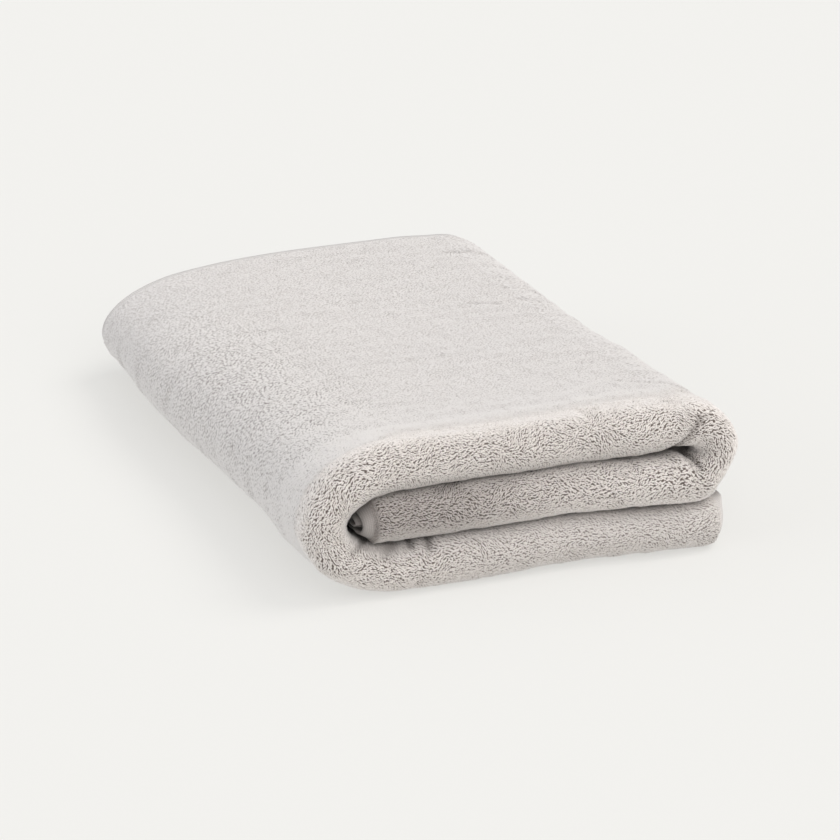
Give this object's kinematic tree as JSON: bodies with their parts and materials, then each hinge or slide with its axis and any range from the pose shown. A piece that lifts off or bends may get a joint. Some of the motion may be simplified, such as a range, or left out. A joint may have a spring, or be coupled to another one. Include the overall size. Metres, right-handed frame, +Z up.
{
  "type": "folded bath sheet",
  "caption": "Thick terry bath sheet, halved twice and folded in thirds into a flat bundle for a shelf, with rounded front folds, hollow side bend and flat woven hems.",
  "frame": {"origin": "under the middle of the folded bundle, on the surface it lies on", "axes": "+Z up, -Y towards the rounded double front folds, +X towards the side where the top layer turns under; the wide bend of all layers is at -X"},
  "size_m": [0.29, 0.4438, 0.0955],
  "materials": {
    "terry": "warm silver-grey cotton terry, uncut loops on both faces, matte, with flat woven hems in the same yarn"
  },
  "bodies": {
    "root": {"bath_sheet": "terry"}
  },
  "joints": []
}
